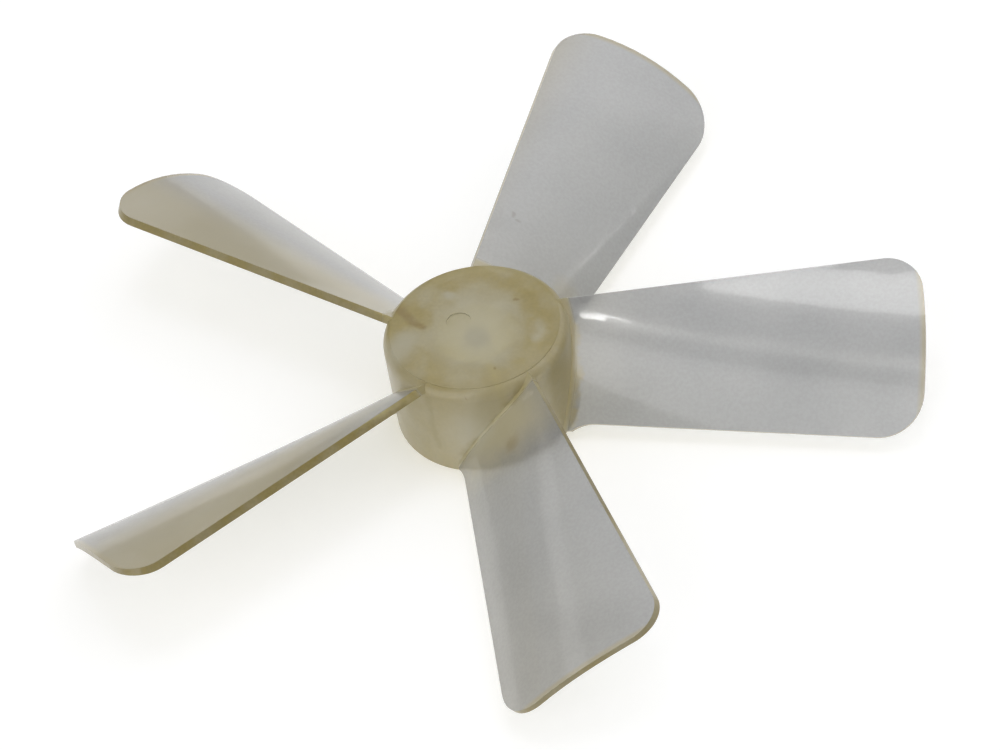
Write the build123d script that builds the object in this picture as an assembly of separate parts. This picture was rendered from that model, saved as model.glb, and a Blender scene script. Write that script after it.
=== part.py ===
from build123d import *
import math
import os

# Axial fan impeller: one moulding that pushes onto the shaft of a small motor.
#
# Z is the axis of rotation, and +Z points to the closed nose. The origin is the mouth of the
# shaft bore, level with the hub's rear rim. Blade 0 lies along +X. Seen from the nose the
# impeller turns anticlockwise and blows air towards its rear. Lengths are millimetres.

# ---- Overall ----
TIP_DIAMETER = 100.0
BLADE_COUNT = 5

# ---- Hub: a cup, closed at the nose and open at the rear ----
HUB_DIAMETER = 21.0
HUB_LENGTH = 12.6
SKIRT_WALL = 0.9
NOSE_WALL = 1.3
NOSE_EDGE_RADIUS = 1.5
CUP_CORNER_RADIUS = 0.6
RIM_EDGE_RADIUS = 0.3

# ---- Boss on the hub's axis, with the blind bore for the shaft ----
BOSS_DIAMETER = 9.0
BOSS_FOOT_RADIUS = 0.6
BORE_DIAMETER = 3.1
BORE_DEPTH = 9.5

# ---- Ribs from the boss to the skirt ----
RIB_COUNT = 3
RIB_THICKNESS = 0.8
RIB_SETBACK = 2.0
FIRST_RIB_ANGLE = 54.0

# ---- Gate mark: a shallow round dimple in the nose face ----
GATE_DIAMETER = 2.8
GATE_DEPTH = 0.2
GATE_OFFSET = 2.1
GATE_ANGLE = 157.0

# ---- Blades ----
# Lead and trail are how far each edge stands to either side of the blade's own radial line.
# Camber is the rise of the arch above its chord. Near the hub the trailing edge flares out on an
# arc, which starts at the flare's reach from the skirt.
TRAILING_EDGE_HEIGHT = 1.7
ROOT_LEAD = 5.0
TIP_LEAD = 11.9
ROOT_TRAIL = 4.5
TIP_TRAIL = 6.9
ROOT_CAMBER = 0.9
TIP_CAMBER = 2.1
ROOT_THICKNESS = 1.0
TIP_THICKNESS = 0.8
TRAILING_TAPER = 0.8
LEADING_CORNER_RADIUS = 4.0
TRAILING_CORNER_RADIUS = 5.2
FLARE_RADIUS = 5.0
FLARE_REACH = 2.5

# ---- Worked out from the sizes above ----
HUB_RADIUS = HUB_DIAMETER / 2
TIP_RADIUS = TIP_DIAMETER / 2
BOSS_RADIUS = BOSS_DIAMETER / 2
BORE_RADIUS = BORE_DIAMETER / 2
CUP_RADIUS = HUB_RADIUS - SKIRT_WALL
CUP_DEPTH = HUB_LENGTH - NOSE_WALL
BLADE_PITCH = 360 / BLADE_COUNT
# The leading edges lie just behind the nose face, so that the blades stay clear of it
LEADING_EDGE_HEIGHT = HUB_LENGTH - ROOT_THICKNESS / 2
MID_HEIGHT = (LEADING_EDGE_HEIGHT + TRAILING_EDGE_HEIGHT) / 2
BLADE_DEPTH = LEADING_EDGE_HEIGHT - TRAILING_EDGE_HEIGHT

# Each blade is lofted oversize, from inside the skirt to past the tip circle, then trimmed.
SECTION_COUNT = 6
ROOT_OVERLAP = 2.4
TIP_OVERRUN = 1.5
CHORD_OVERRUN = 3.0
FIRST_SECTION = HUB_RADIUS - ROOT_OVERLAP
LAST_SECTION = TIP_RADIUS + TIP_OVERRUN
FLARE_SINK = SKIRT_WALL / 3


def along_blade(root_value, tip_value, distance):
    """Value at a distance from the axis, on a straight line from the hub to the tip."""
    share = (distance - HUB_RADIUS) / (TIP_RADIUS - HUB_RADIUS)
    return root_value + (tip_value - root_value) * share


def edge_points(distance):
    """Leading and trailing edge of blade 0 at a distance from the axis, as (sideways, height)."""
    leading = Vector(along_blade(ROOT_LEAD, TIP_LEAD, distance), LEADING_EDGE_HEIGHT)
    trailing = Vector(-along_blade(ROOT_TRAIL, TIP_TRAIL, distance), TRAILING_EDGE_HEIGHT)
    return leading, trailing


def blade_section(distance):
    """Arched section through blade 0, running on past its leading and trailing edges."""
    leading, trailing = edge_points(distance)
    camber = along_blade(ROOT_CAMBER, TIP_CAMBER, distance)
    thickness = along_blade(ROOT_THICKNESS, TIP_THICKNESS, distance)
    chord = (leading - trailing).normalized()
    noseward = Vector(-chord.Y, chord.X)
    half_chord = (leading - trailing).length / 2
    arch_radius = (half_chord**2 + camber**2) / (2 * camber)
    centre = (leading + trailing) / 2 - noseward * (arch_radius - camber)
    reach = math.asin(half_chord / arch_radius) + CHORD_OVERRUN / arch_radius

    def on_arch(angle, offset):
        direction = noseward * math.cos(angle) + chord * math.sin(angle)
        return centre + direction * (arch_radius + offset)

    lead_half = thickness / 2
    trail_half = lead_half * TRAILING_TAPER
    middle_half = (lead_half + trail_half) / 2
    front = ThreePointArc(
        on_arch(-reach, trail_half), on_arch(0, middle_half), on_arch(reach, lead_half)
    )
    rear = ThreePointArc(
        on_arch(reach, -lead_half), on_arch(0, -middle_half), on_arch(-reach, -trail_half)
    )
    ends = [Line(front @ 1, rear @ 0), Line(rear @ 1, front @ 0)]
    plane = Plane(origin=(distance, 0, 0), x_dir=(0, 1, 0), z_dir=(1, 0, 0))
    return plane * make_face([front, rear] + ends)


def blade_sheet():
    """The twisted, arched sheet that blade 0 is trimmed from."""
    step = (LAST_SECTION - FIRST_SECTION) / (SECTION_COUNT - 1)
    return loft([blade_section(FIRST_SECTION + step * i) for i in range(SECTION_COUNT)])


def blade_outline():
    """Block with the outline of blade 0, square to the blade's mean plane."""
    mean_width = (ROOT_LEAD + ROOT_TRAIL + TIP_LEAD + TIP_TRAIL) / 2
    pitch = math.atan2(BLADE_DEPTH, mean_width)
    across = Vector(math.cos(pitch), math.sin(pitch))

    def corner(distance, edge):
        return Vector(distance, (edge - Vector(0, MID_HEIGHT)).dot(across))

    inner_lead = corner(FIRST_SECTION, edge_points(FIRST_SECTION)[0])
    outer_lead, outer_trail = [corner(LAST_SECTION, edge) for edge in edge_points(LAST_SECTION)]

    # The flare's arc runs a little way into the skirt, and the outline is straight from there
    flare_distance = HUB_RADIUS + FLARE_REACH
    flare_start = corner(flare_distance, edge_points(flare_distance)[1])
    flare_turn = math.degrees(math.asin((FLARE_REACH + FLARE_SINK) / FLARE_RADIUS))
    flare = JernArc(flare_start, flare_start - outer_trail, FLARE_RADIUS, flare_turn)
    inner_trail = (FIRST_SECTION, (flare @ 1).Y)
    straight = Polyline(flare @ 1, inner_trail, inner_lead, outer_lead, outer_trail, flare_start)
    outline = make_face([flare, straight])

    mean_plane = Plane(
        origin=(0, 0, MID_HEIGHT),
        x_dir=(1, 0, 0),
        z_dir=(0, -math.sin(pitch), math.cos(pitch)),
    )
    block = extrude(mean_plane * outline, 2 * BLADE_DEPTH, both=True)
    block &= extrude(Circle(TIP_RADIUS), 2 * BLADE_DEPTH + HUB_LENGTH, both=True)

    leading_corner = (TIP_RADIUS, TIP_LEAD, LEADING_EDGE_HEIGHT)
    block = fillet(block.edges().sort_by_distance(leading_corner)[0], LEADING_CORNER_RADIUS)
    trailing_corner = (TIP_RADIUS, -TIP_TRAIL, TRAILING_EDGE_HEIGHT)
    block = fillet(block.edges().sort_by_distance(trailing_corner)[0], TRAILING_CORNER_RADIUS)
    return block


def hub_blank():
    """The outside of the hub, still solid, with its seam between two blades."""
    blank = extrude(Circle(HUB_RADIUS), HUB_LENGTH)
    blank = fillet(blank.edges().sort_by(Axis.Z)[-1], NOSE_EDGE_RADIUS)
    return Rot(0, 0, BLADE_PITCH / 2) * blank


def bladed_hub():
    """Solid hub with all its blades."""
    blade = blade_sheet() & blade_outline()
    return hub_blank() + [Rot(0, 0, BLADE_PITCH * number) * blade for number in range(BLADE_COUNT)]


def cup():
    """The hollow of the hub, open to the rear."""
    hollow = extrude(Circle(CUP_RADIUS), CUP_DEPTH)
    return fillet(hollow.edges().sort_by(Axis.Z)[-1], CUP_CORNER_RADIUS)


def boss():
    """Shaft boss in the middle of the cup, with its foot spread on the nose wall."""
    wall = extrude(Circle(CUP_RADIUS), NOSE_WALL)
    post = wall + Pos(0, 0, -CUP_DEPTH) * extrude(Circle(BOSS_RADIUS), CUP_DEPTH + NOSE_WALL)
    foot = post.edges().filter_by(GeomType.CIRCLE).filter_by_position(Axis.Z, 0, 0)
    return Pos(0, 0, CUP_DEPTH) * fillet(foot.sort_by(SortBy.LENGTH)[0], BOSS_FOOT_RADIUS)


def ribs():
    """Thin radial ribs that tie the boss to the skirt."""
    length = (CUP_RADIUS + HUB_RADIUS) / 2
    profile = Pos(length / 2, 0) * Rectangle(length, RIB_THICKNESS)
    rib = Pos(0, 0, RIB_SETBACK) * extrude(profile, HUB_LENGTH - NOSE_WALL / 2 - RIB_SETBACK)
    rib_pitch = 360 / RIB_COUNT
    return Part() + [Rot(0, 0, FIRST_RIB_ANGLE + rib_pitch * number) * rib for number in range(RIB_COUNT)]


def bore():
    """Blind hole for the motor shaft."""
    return extrude(Circle(BORE_RADIUS), BORE_DEPTH)


def gate_mark():
    """Shallow round dimple that the sprue left on the nose."""
    dimple = extrude(Circle(GATE_DIAMETER / 2), GATE_DEPTH)
    return Rot(0, 0, GATE_ANGLE) * Pos(GATE_OFFSET, 0, HUB_LENGTH - GATE_DEPTH) * dimple


def impeller():
    """The whole moulding."""
    body = bladed_hub() - cup()
    rims = body.edges().filter_by(GeomType.CIRCLE).filter_by_position(Axis.Z, 0, 0)
    body = fillet(rims, RIM_EDGE_RADIUS)
    body += boss()
    body += ribs()
    return body - bore() - gate_mark()


os.makedirs("parts", exist_ok=True)
export_step(impeller(), "parts/impeller.step")
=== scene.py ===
import math

import bpy
from mathutils import Matrix, Vector


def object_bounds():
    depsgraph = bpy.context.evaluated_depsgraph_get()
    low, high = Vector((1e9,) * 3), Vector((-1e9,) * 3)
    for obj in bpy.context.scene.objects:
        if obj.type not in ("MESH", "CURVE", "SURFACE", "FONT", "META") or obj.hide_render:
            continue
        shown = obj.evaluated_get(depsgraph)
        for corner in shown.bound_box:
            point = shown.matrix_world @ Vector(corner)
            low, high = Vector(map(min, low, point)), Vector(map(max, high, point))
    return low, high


# An aged axial fan impeller, moulded in one piece of hazy clear plastic, on a white table.
# Lengths are metres, in the frame of the CAD model: Z is the axis of rotation and +Z the nose.
MM = 0.001
WHITE = (1.0, 1.0, 1.0, 1.0)
BLACK = (0.0, 0.0, 0.0, 1.0)


# ---------------------------------------------------------------- helpers
def polar_point(radius, azimuth, height):
    """Point at a radius and height in metres, at an azimuth in degrees about the axis of rotation."""
    angle = math.radians(azimuth)
    return Vector((radius * math.cos(angle), radius * math.sin(angle), height))


class Nodes:
    """A material's node tree, built by name with its inputs given as numbers or sockets."""

    def __init__(self, name):
        self.material = bpy.data.materials.new(name)
        self.material.use_nodes = True
        self.tree = self.material.node_tree
        self.tree.nodes.clear()
        self.output = self.tree.nodes.new("ShaderNodeOutputMaterial")

    def add(self, kind, settings=None, **inputs):
        """A node with its settings, and with inputs by name, such as base_color, or number, such as in0."""
        node = self.tree.nodes.new("ShaderNode" + kind)
        for key, value in (settings or {}).items():
            setattr(node, key, value)
        for key, value in inputs.items():
            self.feed(self.socket(node, key), value)
        return node

    @staticmethod
    def socket(node, key):
        if key.startswith("in") and key[2:].isdigit():
            return node.inputs[int(key[2:])]
        return node.inputs[key.replace("_", " ").title().replace("Ior", "IOR")]

    def feed(self, socket, value):
        if isinstance(value, bpy.types.NodeSocket):
            self.tree.links.new(value, socket)
        else:
            socket.default_value = value

    def math(self, operation, first, second=0.0, clamp=False):
        node = self.add("Math", {"operation": operation, "use_clamp": clamp}, in0=first, in1=second)
        return node.outputs[0]

    def vector(self, operation, first, second=(0.0, 0.0, 0.0)):
        """Vector arithmetic, in which a length, distance or dot product comes out as a number."""
        node = self.add("VectorMath", {"operation": operation}, in0=first, in1=second)
        gives_number = operation in ("LENGTH", "DISTANCE", "DOT_PRODUCT")
        return node.outputs["Value" if gives_number else "Vector"]

    def scaled(self, vector, factor):
        return self.add("VectorMath", {"operation": "SCALE"}, in0=vector, scale=factor).outputs["Vector"]

    def mix(self, factor, first, second):
        """A colour between two others."""
        node = self.add("Mix", {"data_type": "RGBA"}, in0=factor, in6=first, in7=second)
        return node.outputs[2]

    def blend(self, factor, first, second):
        """A number between two others."""
        return self.add("Mix", None, in0=factor, in2=first, in3=second).outputs[0]

    def ramp(self, value, low, high, out_low=0.0, out_high=1.0):
        """A smooth step from out_low, where the value is at low, to out_high, where it is at high."""
        node = self.add("MapRange", {"interpolation_type": "SMOOTHSTEP"})
        for index, number in enumerate((value, low, high, out_low, out_high)):
            self.feed(node.inputs[index], number)
        return node.outputs[0]

    def noise(self, vector, scale, detail=2.0, roughness=0.5, output="Fac"):
        node = self.add("TexNoise", None, vector=vector, scale=scale, detail=detail, roughness=roughness)
        return node.outputs[output]


# ---------------------------------------------------------------- materials
# The object's own sizes, as its CAD model has them
HUB_RADIUS = 10.5 * MM
TIP_RADIUS = 50.0 * MM
LEADING_EDGE_HEIGHT = 12.1 * MM

# The plastic is part clear and part haze. The shares are of haze
HAZE_ON_BLADES = 0.72
HAZE_ON_HUB = 0.80
CLEAR_ROUGHNESS = 0.14
CLEAR_HUB_ROUGHNESS = 0.50
HAZE_ROUGHNESS = 0.36
COAT_WEIGHT = 0.5
COAT_ROUGHNESS = 0.035
PLASTIC_IOR = 1.50
ABSORBED_COLOUR = (0.90, 0.78, 0.08, 1.0)
ABSORPTION_DENSITY = 60.0
SHADOW_TINT = (0.84, 0.84, 0.82, 1.0)

# Colours of the haze, from new plastic to the most aged
BLADE_HAZE = (0.195, 0.202, 0.217, 1.0)
AGED_BLADE_HAZE = (0.235, 0.200, 0.110, 1.0)
LUMP_HAZE = (0.40, 0.355, 0.215, 1.0)
AGED_HAZE = (0.330, 0.262, 0.085, 1.0)
EDGE_HAZE = (0.235, 0.185, 0.058, 1.0)
PALE = (0.42, 0.40, 0.31, 1.0)
OLIVE = (0.235, 0.178, 0.038, 1.0)
BROWN = (0.20, 0.125, 0.025, 1.0)
GRIME = (0.07, 0.06, 0.05, 1.0)

# Soft changes over the surface, each as (low end, high end) of what it goes by
ON_HUB = (HUB_RADIUS + 0.8 * MM, HUB_RADIUS + 0.1 * MM)
NEAR_HUB = (HUB_RADIUS + 16.0 * MM, HUB_RADIUS)
NOSE_BORDER = (HUB_RADIUS - 2.6 * MM, HUB_RADIUS - 0.6 * MM)
TIP_LINE = (TIP_RADIUS - 0.9 * MM, TIP_RADIUS - 0.2 * MM)
LEADING_BAND = (LEADING_EDGE_HEIGHT - 4.6 * MM, LEADING_EDGE_HEIGHT - 1.0 * MM)
EDGE_SLOPE = (-0.05, 0.15)
TIP_SLOPE = (0.45, 0.7)

# The side that has yellowed most and the side darkened by painted shade, as azimuths and as
# distances from the axis towards them
AGEING_AZIMUTH = 225.0
AGEING_REACH = (2.0 * MM, 38.0 * MM)
SHADED_SIDE_AZIMUTH = 165.0
PAINTED_SHADE_REACH = (0.0, 24.0 * MM)
BAND_REACH = (3.0 * MM, 14.0 * MM)

# How much each change shows
AGEING = 0.50
ROOT_AGEING = 0.12
# Painted shade: how far the blades on one side are darkened towards black
PAINTED_SIDE_SHADE = 0.52
NOSE_BORDER_SHADE = 0.45
TIP_LINE_SHADE = 0.8
LEADING_BAND_SHADE = 0.95

# Unevenness: noise scales are per metre
CLOUD_SCALE = 90.0
CLOUD_DEPTH = 0.04
GRAIN_SCALE = 2600.0
GRAIN_DEPTH = 0.10
LUMP_SCALE = 260.0
WANDER_SCALE = 420.0
MARK_WANDER = 2.0 * MM
PATCH_CORE = 0.2
STREAK_CORE = 0.1

# Marks of age, and painted light and painted highlights on the nose. A patch is (colour, strength,
# centre in mm, radii in mm), and a streak is (colour, strength, start in mm, end in mm, half width in mm)
PATCHES = (
    (LUMP_HAZE, 0.85, (5.0, -11.3, 7.0), (11.0, 7.2, 12.0)),
    # Painted light: a pale disc over the middle of the nose face
    (PALE, 0.85, (0.4, -1.0, 12.6), (7.4, 9.0, 3.0)),
    (PALE, 0.70, (-7.9, -3.2, 12.2), (2.6, 4.0, 3.0)),
    (PALE, 0.55, (0.6, -10.5, 6.0), (4.6, 3.0, 5.0)),
    # Painted highlight: a small glint on the nose
    (PALE, 0.70, (-3.4, 4.8, 12.6), (1.7, 0.9, 1.0)),
    (OLIVE, 0.35, (7.5, 12.6, 4.7), (3.0, 3.4, 3.0)),
    # Painted highlight: another thin glint on the nose
    (PALE, 0.60, (7.4, -0.6, 12.6), (1.3, 3.0, 1.0)),
    (GRIME, 0.55, (2.3, 18.6, 11.3), (0.5, 0.4, 0.8)),
    (GRIME, 0.70, (1.7, 19.2, 11.3), (0.5, 0.4, 0.8)),
    (BROWN, 0.80, (3.1, -6.6, 12.6), (0.30, 0.40, 0.5)),
    (BROWN, 0.70, (0.4, -10.2, 11.9), (0.25, 0.30, 0.5)),
    (BROWN, 0.70, (4.0, 4.3, 12.6), (0.50, 0.25, 0.5)),
    (BROWN, 0.60, (8.9, -3.6, 12.4), (0.35, 0.35, 0.5)),
    (BROWN, 0.40, (5.6, -14.6, 9.1), (1.2, 1.8, 1.8)),
)
STREAKS = (
    (BROWN, 0.65, (-9.2, 2.8, 12.5), (-6.0, -0.2, 12.6), 0.8),
    (OLIVE, 0.75, (-4.2, -9.6, 11.1), (-4.1, -9.7, 3.4), 0.7),
    (OLIVE, 0.75, (10.8, 2.2, 10.6), (10.9, -1.6, 6.8), 0.9),
    (OLIVE, 0.75, (10.9, -1.6, 6.8), (10.4, -4.6, 2.3), 0.9),
    (OLIVE, 0.80, (6.1, -8.6, 11.6), (-0.9, -10.6, 2.6), 1.1),
    (PALE, 0.80, (7.6, -9.6, 11.6), (0.6, -11.8, 2.6), 0.7),
    (OLIVE, 0.50, (9.0, -10.6, 11.0), (2.6, -13.2, 3.0), 0.9),
)


def patch(n, place, middle, radii):
    """1 in the middle of a soft ellipsoid, 0 outside it."""
    offset = n.vector("SUBTRACT", place, tuple(Vector(middle) * MM))
    distance = n.vector("LENGTH", n.vector("DIVIDE", offset, tuple(Vector(radii) * MM)))
    return n.ramp(distance, 1.0, PATCH_CORE)


def streak(n, place, start, end, half_width):
    """1 along a line between two points, 0 at a half width away from it."""
    run = (Vector(end) - Vector(start)) * MM
    offset = n.vector("SUBTRACT", place, tuple(Vector(start) * MM))
    ahead = n.vector("DOT_PRODUCT", offset, tuple(run))
    nearest = n.scaled(tuple(run), n.math("DIVIDE", ahead, run.length_squared, clamp=True))
    away = n.vector("DISTANCE", offset, nearest)
    return n.ramp(away, half_width * MM, STREAK_CORE * half_width * MM)


def with_marks_and_painted_light(n, place, colour):
    """A colour with the marks of age, the painted light and the painted highlights laid over it, their
    outlines made uneven.
    """
    wander = n.noise(place, WANDER_SCALE, 3.0, 0.6, output="Color")
    wander = n.scaled(n.vector("SUBTRACT", wander, (0.5, 0.5, 0.5)), MARK_WANDER)
    place = n.vector("ADD", place, wander)
    for mark, strength, middle, radii in PATCHES:
        share = n.math("MULTIPLY", patch(n, place, middle, radii), strength)
        colour = n.mix(share, colour, mark)
    for mark, strength, start, end, half_width in STREAKS:
        share = n.math("MULTIPLY", streak(n, place, start, end, half_width), strength)
        colour = n.mix(share, colour, mark)
    return colour


def toward(n, place, azimuth):
    """How far a point lies from the axis in the direction of an azimuth."""
    return n.vector("DOT_PRODUCT", place, tuple(polar_point(1.0, azimuth, 0.0)))


def edge_share(n, outward):
    """1 on the narrow faces round each blade, 0 on its two broad faces."""
    normal = n.add("TexCoord").outputs["Normal"]
    radial = n.vector("NORMALIZE", outward)
    around = n.vector("CROSS_PRODUCT", (0.0, 0.0, 1.0), radial)
    along = n.vector("DOT_PRODUCT", normal, around)
    upward = n.add("SeparateXYZ", None, vector=normal).outputs["Z"]
    chordwise = n.ramp(n.math("MULTIPLY", along, upward), *EDGE_SLOPE)
    tipwise = n.ramp(n.vector("DOT_PRODUCT", normal, radial), *TIP_SLOPE)
    return n.math("MAXIMUM", chordwise, tipwise)


def blade_colour(n, place, radius, grain):
    """Haze of the blades: greyer where new, more olive on the aged side and along their edges, and darkened
    on one side by painted shade.
    """
    ageing = n.ramp(toward(n, place, AGEING_AZIMUTH), *AGEING_REACH, 0.0, AGEING)
    root_ageing = n.math("MULTIPLY", n.ramp(radius, *NEAR_HUB), ROOT_AGEING)
    shaded_side = toward(n, place, SHADED_SIDE_AZIMUTH)
    painted_shade = n.ramp(shaded_side, *PAINTED_SHADE_REACH, 0.0, PAINTED_SIDE_SHADE)
    height = n.add("SeparateXYZ", None, vector=place).outputs["Z"]
    leading_band = n.ramp(height, *LEADING_BAND, 0.0, LEADING_BAND_SHADE)
    leading_band = n.math("MULTIPLY", leading_band, n.ramp(shaded_side, *BAND_REACH))

    colour = n.mix(n.math("ADD", ageing, root_ageing, clamp=True), BLADE_HAZE, AGED_BLADE_HAZE)
    # Painted shade on one side of the blades, together with a fine random grain
    colour = n.mix(n.math("ADD", painted_shade, grain), colour, BLACK)
    colour = n.mix(leading_band, colour, EDGE_HAZE)
    return n.mix(n.ramp(radius, *TIP_LINE, 0.0, TIP_LINE_SHADE), colour, OLIVE)


def hub_colour(n, place, radius, grain):
    """Haze of the hub: lumpy, and darker round the nose."""
    lumps = n.ramp(n.noise(place, LUMP_SCALE, 3.0, 0.55), 0.35, 0.68)
    colour = n.mix(lumps, AGED_HAZE, LUMP_HAZE)
    colour = n.mix(n.ramp(radius, *NOSE_BORDER, 0.0, NOSE_BORDER_SHADE), colour, OLIVE)
    return n.mix(grain, colour, BLACK)


def aged_plastic():
    """Hazy see-through plastic that has yellowed: thicker and edge-on parts look darker and more olive."""
    n = Nodes("aged_plastic")
    place = n.add("TexCoord").outputs["Object"]
    outward = n.vector("MULTIPLY", place, (1.0, 1.0, 0.0))
    radius = n.vector("LENGTH", outward)
    on_hub = n.ramp(radius, *ON_HUB)
    on_edge = n.math("MULTIPLY", edge_share(n, outward), n.math("SUBTRACT", 1.0, on_hub))
    most_aged = n.math("MAXIMUM", on_hub, on_edge)

    clouds = n.ramp(n.noise(place, CLOUD_SCALE, 4.0), 0.2, 0.8, -CLOUD_DEPTH, CLOUD_DEPTH)
    grain = n.ramp(n.noise(place, GRAIN_SCALE), 0.3, 0.7, 0.0, GRAIN_DEPTH)
    blade_haze = blade_colour(n, place, radius, grain)
    haze_colour = n.mix(most_aged, blade_haze, hub_colour(n, place, radius, grain))
    share = n.math("ADD", n.blend(most_aged, HAZE_ON_BLADES, HAZE_ON_HUB), clouds)

    clear = n.add(
        "BsdfPrincipled",
        None,
        base_color=WHITE,
        roughness=n.blend(on_hub, CLEAR_ROUGHNESS, CLEAR_HUB_ROUGHNESS),
        ior=PLASTIC_IOR,
        transmission_weight=1.0,
    )
    haze = n.add(
        "BsdfPrincipled",
        None,
        base_color=with_marks_and_painted_light(n, place, haze_colour),
        roughness=HAZE_ROUGHNESS,
        ior=PLASTIC_IOR,
        coat_weight=COAT_WEIGHT,
        coat_roughness=COAT_ROUGHNESS,
    )
    # Haze lies on the outer side only, so that light inside the wall finds its way out
    facing_out = n.math("SUBTRACT", 1.0, n.add("NewGeometry").outputs["Backfacing"])
    haze_share = n.math("MULTIPLY", share, facing_out)
    body = n.add("MixShader", None, in0=haze_share, in1=clear.outputs[0], in2=haze.outputs[0])

    # Lamps shine through with a slight tint, which keeps the shadow on the table soft
    in_shadow = n.add("LightPath").outputs["Is Shadow Ray"]
    tinted = n.add("BsdfTransparent", None, color=SHADOW_TINT)
    surface = n.add("MixShader", None, in0=in_shadow, in1=body.outputs[0], in2=tinted.outputs[0])
    n.feed(n.output.inputs["Surface"], surface.outputs[0])
    depth = n.add("VolumeAbsorption", None, color=ABSORBED_COLOUR, density=ABSORPTION_DENSITY)
    n.feed(n.output.inputs["Volume"], depth.outputs[0])
    return n.material


# ---------------------------------------------------------------- stage
FLOOR_HALF_SIZE = 3.0
FLOOR_GAP = 0.02 * MM
FLOOR_COLOUR = (0.86, 0.86, 0.86, 1.0)
FLOOR_LIFT = 0.25
WORLD_FILL = 0.35
WORLD_SEEN = 1.0


def seen_directly(n):
    """1 for rays that show the background: from the camera, off gloss and through clear plastic."""
    path = n.add("LightPath")
    either = n.math("MAXIMUM", path.outputs["Is Camera Ray"], path.outputs["Is Glossy Ray"])
    return n.math("MAXIMUM", either, path.outputs["Is Transmission Ray"])


def floor_material():
    n = Nodes("floor_white")
    matt = n.add("BsdfDiffuse", None, color=FLOOR_COLOUR)
    strength = n.math("MULTIPLY", seen_directly(n), FLOOR_LIFT)
    lift = n.add("Emission", None, color=WHITE, strength=strength)
    both = n.add("AddShader", None, in0=matt.outputs[0], in1=lift.outputs[0])
    n.feed(n.output.inputs["Surface"], both.outputs[0])
    return n.material


def make_floor(height):
    """A white table top that keeps the object's shadow."""
    mesh = bpy.data.meshes.new("floor")
    signs = ((-1, -1), (1, -1), (1, 1), (-1, 1))
    corners = [(x * FLOOR_HALF_SIZE, y * FLOOR_HALF_SIZE, height) for x, y in signs]
    mesh.from_pydata(corners, [], [(0, 1, 2, 3)])
    floor = bpy.data.objects.new("floor", mesh)
    bpy.context.scene.collection.objects.link(floor)
    mesh.materials.append(floor_material())


def make_world():
    """A world that is white to the camera and a soft fill light to everything else."""
    world = bpy.data.worlds.new("studio")
    world.use_nodes = True
    bpy.context.scene.world = world
    tree = world.node_tree
    background = tree.nodes["Background"]
    path = tree.nodes.new("ShaderNodeLightPath")
    strength = tree.nodes.new("ShaderNodeMix")
    strength.inputs[2].default_value = WORLD_FILL
    strength.inputs[3].default_value = WORLD_SEEN
    tree.links.new(path.outputs["Is Camera Ray"], strength.inputs[0])
    tree.links.new(strength.outputs[0], background.inputs["Strength"])
    background.inputs["Color"].default_value = WHITE


# Softboxes round the object, as (name, azimuth, elevation, distance, width and height, watts)
LAMPS = (
    ("key", -93.0, 63.0, 0.9, (0.02, 0.05), 0.12),
    ("glow", -100.0, 50.0, 0.9, (0.10, 0.10), 0.05),
    ("top", 100.0, 82.0, 1.0, (0.35, 0.35), 2.0),
    ("side", 38.0, 45.0, 1.0, (1.2, 1.2), 4.5),
    ("front", -120.0, 25.0, 1.0, (0.9, 0.9), 4.5),
    ("behind", 153.0, 26.0, 0.9, (0.08, 0.12), 0.03),
    ("low", 18.0, 14.0, 0.9, (0.05, 0.05), 0.04),
)


def softbox(target, name, azimuth, elevation, distance, size, power):
    """Rectangular lamp that looks at a target from an azimuth and elevation in degrees."""
    lamp = bpy.data.lights.new(name, "AREA")
    lamp.shape = "RECTANGLE"
    lamp.size, lamp.size_y = size
    lamp.energy = power
    holder = bpy.data.objects.new(name, lamp)
    rise = math.radians(elevation)
    offset = polar_point(distance * math.cos(rise), azimuth, distance * math.sin(rise))
    holder.location = target + offset
    holder.rotation_euler = offset.to_track_quat("Z", "Y").to_euler()
    bpy.context.scene.collection.objects.link(holder)


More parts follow.
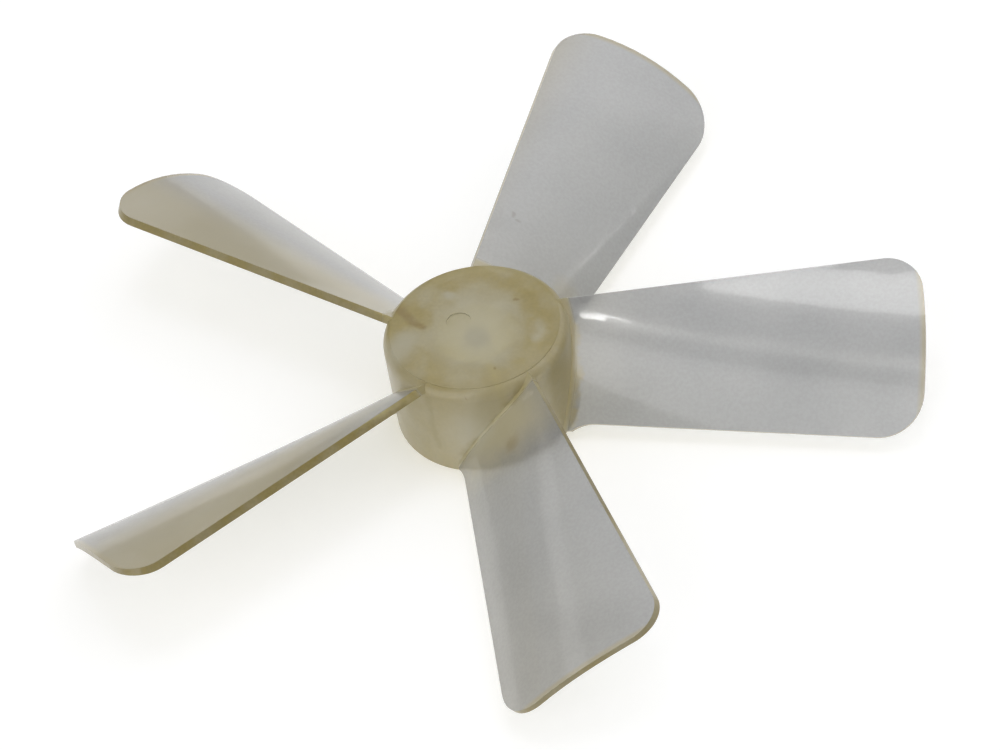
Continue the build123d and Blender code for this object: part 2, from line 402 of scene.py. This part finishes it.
# ---------------------------------------------------------------- camera
CAMERA_AZIMUTH = -75.325
CAMERA_POLAR = 44.843
CAMERA_ROLL = -10.452
CAMERA_DISTANCE = 542.516 * MM
CAMERA_SIDE = 2.173 * MM
CAMERA_UP = -1.872 * MM
AIM_HEIGHT = 7.5 * MM
SENSOR_WIDTH = 36.0
FOCAL_LENGTH = 174.06
CLIP_START = 10.0 * MM


def make_camera(aim):
    """The photograph's camera, placed from the point that it looks at."""
    polar = math.radians(CAMERA_POLAR)
    backward = polar_point(math.sin(polar), CAMERA_AZIMUTH, math.cos(polar))
    level_up = (Vector((0, 0, 1)) - backward * backward.z).normalized()
    level_right = level_up.cross(backward)
    roll = math.radians(CAMERA_ROLL)
    right = level_right * math.cos(roll) + level_up * math.sin(roll)
    up = level_up * math.cos(roll) - level_right * math.sin(roll)
    place = aim + right * CAMERA_SIDE + up * CAMERA_UP + backward * CAMERA_DISTANCE
    data = bpy.data.cameras.new("camera")
    data.sensor_width = SENSOR_WIDTH
    data.lens = FOCAL_LENGTH
    data.clip_start = CLIP_START
    camera = bpy.data.objects.new("camera", data)
    turned = Matrix((right, up, backward)).transposed().to_4x4()
    camera.matrix_world = Matrix.Translation(place) @ turned
    bpy.context.scene.collection.objects.link(camera)
    bpy.context.scene.camera = camera


# ---------------------------------------------------------------- scene
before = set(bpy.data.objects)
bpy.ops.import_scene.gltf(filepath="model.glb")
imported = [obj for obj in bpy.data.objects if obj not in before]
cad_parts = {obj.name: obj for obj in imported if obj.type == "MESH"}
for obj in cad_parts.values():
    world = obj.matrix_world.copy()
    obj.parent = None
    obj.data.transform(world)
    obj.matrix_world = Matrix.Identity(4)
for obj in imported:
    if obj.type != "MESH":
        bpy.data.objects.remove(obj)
cad_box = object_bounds()

plastic = aged_plastic()
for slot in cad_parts["impeller"].material_slots:
    slot.material = plastic

middle = Vector((0.0, 0.0, AIM_HEIGHT))
make_camera(middle)
make_floor(cad_box[0][2] - FLOOR_GAP)
make_world()
for lamp in LAMPS:
    softbox(middle, *lamp)

bpy.context.scene.view_settings.view_transform = "Standard"
